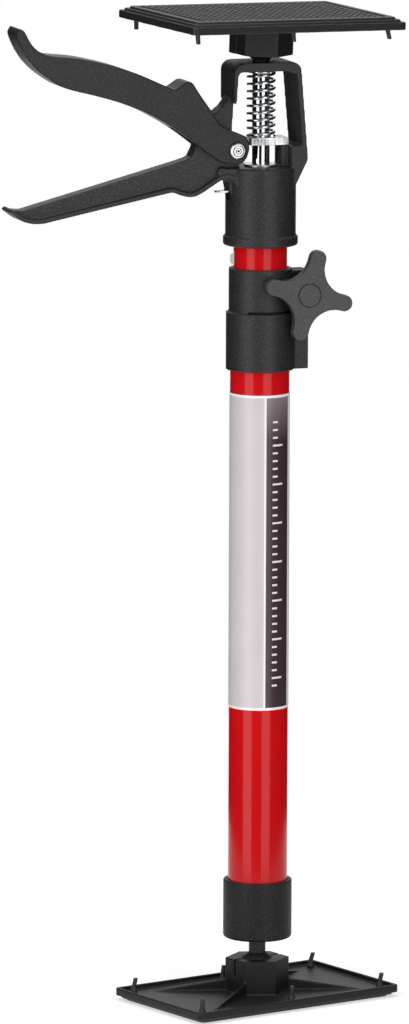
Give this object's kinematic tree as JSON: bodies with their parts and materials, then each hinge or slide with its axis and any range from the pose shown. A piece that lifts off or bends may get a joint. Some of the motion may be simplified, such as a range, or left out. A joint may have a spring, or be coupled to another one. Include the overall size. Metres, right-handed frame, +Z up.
{
  "type": "telescopic drywall support pole",
  "caption": "Telescopic prop that stands on a tilting rubber-faced foot plate and presses a tilting head plate to the ceiling, with a clamp knob and a squeeze trigger that pumps the rod up.",
  "frame": {"origin": "centre of the foot pad underside, on the pole axis", "axes": "+Z up the pole, handles towards -X, clamp knob faces -Y"},
  "size_m": [0.2056, 0.11, 0.5127],
  "materials": {
    "rubber": "matte, fine knurl",
    "black_plastic": "matte, slightly grained",
    "black_cast": "black powder coat, fine grain",
    "red_paint": "gloss red paint",
    "label_film": "printed film, bare artwork",
    "chrome": "polished",
    "zinc": "zinc plated",
    "nylon": "natural nylon"
  },
  "bodies": {
    "foot": {"foot_pad": "rubber", "foot_plate": "black_plastic"},
    "foot_ball": {"foot_ball": "black_cast"},
    "foot_stem": {"foot_stem": "black_cast"},
    "tube": {"foot_cup": "black_cast", "stem_retainer": "zinc", "outer_tube": "red_paint", "label": "label_film", "tube_clamp": "black_cast", "clamp_nut": "zinc"},
    "knob": {"star_knob": "black_plastic", "knob_cap": "black_plastic", "clamp_bolt": "zinc", "clamp_washer": "zinc"},
    "glide": {"tube_glide": "nylon"},
    "mast": {"inner_tube": "red_paint", "release_seat": "zinc", "head_body": "black_cast", "guide_bush": "zinc", "top_bush": "black_plastic", "pivot_pin": "chrome", "pivot_clip": "zinc", "drive_spring": "chrome", "release_spring": "zinc"},
    "trigger": {"trigger": "black_plastic"},
    "drive_plates": {"drive_plate_1": "zinc", "drive_plate_2": "zinc", "drive_plate_3": "zinc"},
    "release": {"release_plate": "zinc"},
    "rod": {"push_rod": "chrome", "rod_stop": "nylon"},
    "rod_end": {"rod_end": "black_cast"},
    "head_ball": {"head_ball": "black_cast"},
    "head_plate": {"head_plate": "black_plastic", "head_pad": "rubber"}
  },
  "joints": [
    {"name": "foot_tilt_long", "type": "hinge", "parent": "foot", "child": "foot_ball", "pos_m": [0, 0, 0.0164], "axis": [0.9532, 0.3024, 0], "range_deg": [-19, 19]},
    {"name": "foot_tilt_short", "type": "hinge", "parent": "foot_ball", "child": "foot_stem", "pos_m": [0, 0, 0.0164], "axis": [-0.3024, 0.9532, 0], "range_deg": [-19, 19]},
    {"name": "foot_swivel", "type": "hinge", "parent": "foot_stem", "child": "tube", "pos_m": [0, 0, 0.0325], "axis": [0, 0, 1], "continuous": true},
    {"name": "tube_slide", "type": "slide", "parent": "tube", "child": "glide", "axis": [0, 0, 1], "range_m": [0, 0.29]},
    {"name": "tube_swivel", "type": "hinge", "parent": "glide", "child": "mast", "pos_m": [0, 0, 0.043], "axis": [0, 0, 1], "continuous": true},
    {"name": "knob_spin", "type": "hinge", "parent": "tube", "child": "knob", "pos_m": [0.0193, 0, 0.367], "axis": [0, -1, 0], "continuous": true},
    {"name": "trigger_squeeze", "type": "hinge", "parent": "mast", "child": "trigger", "pos_m": [-0.0151, 0, 0.4404], "axis": [0, -1, 0], "range_deg": [0, 26], "stiffness_Nm_per_rad": 0.4, "springref_deg": -17.19},
    {"name": "drive_lift", "type": "slide", "parent": "mast", "child": "drive_plates", "axis": [0, 0, 1], "range_m": [0, 0.0026], "deforming": ["drive_spring"]},
    {"name": "release_press", "type": "hinge", "parent": "mast", "child": "release", "pos_m": [0.011, 0, 0.4185], "axis": [0, -1, 0], "range_deg": [0, 6], "stiffness_Nm_per_rad": 0.05, "springref_deg": -11.46, "deforming": ["release_spring"]},
    {"name": "rod_slide", "type": "slide", "parent": "mast", "child": "rod", "axis": [0, 0, 1], "range_m": [0, 0.35]},
    {"name": "head_swivel", "type": "hinge", "parent": "rod", "child": "rod_end", "pos_m": [0, 0, 0.4805], "axis": [0, 0, 1], "continuous": true},
    {"name": "head_tilt_long", "type": "hinge", "parent": "rod_end", "child": "head_ball", "pos_m": [0, 0, 0.4936], "axis": [0.974, 0.2267, 0], "range_deg": [-9.5, 6]},
    {"name": "head_tilt_short", "type": "hinge", "parent": "head_ball", "child": "head_plate", "pos_m": [0, 0, 0.4936], "axis": [-0.2267, 0.974, 0], "range_deg": [-9.5, 6]}
  ],
  "couplings": [
    {"joint": "drive_lift", "follows": "trigger_squeeze", "m_per_rad": 0.0055}
  ]
}
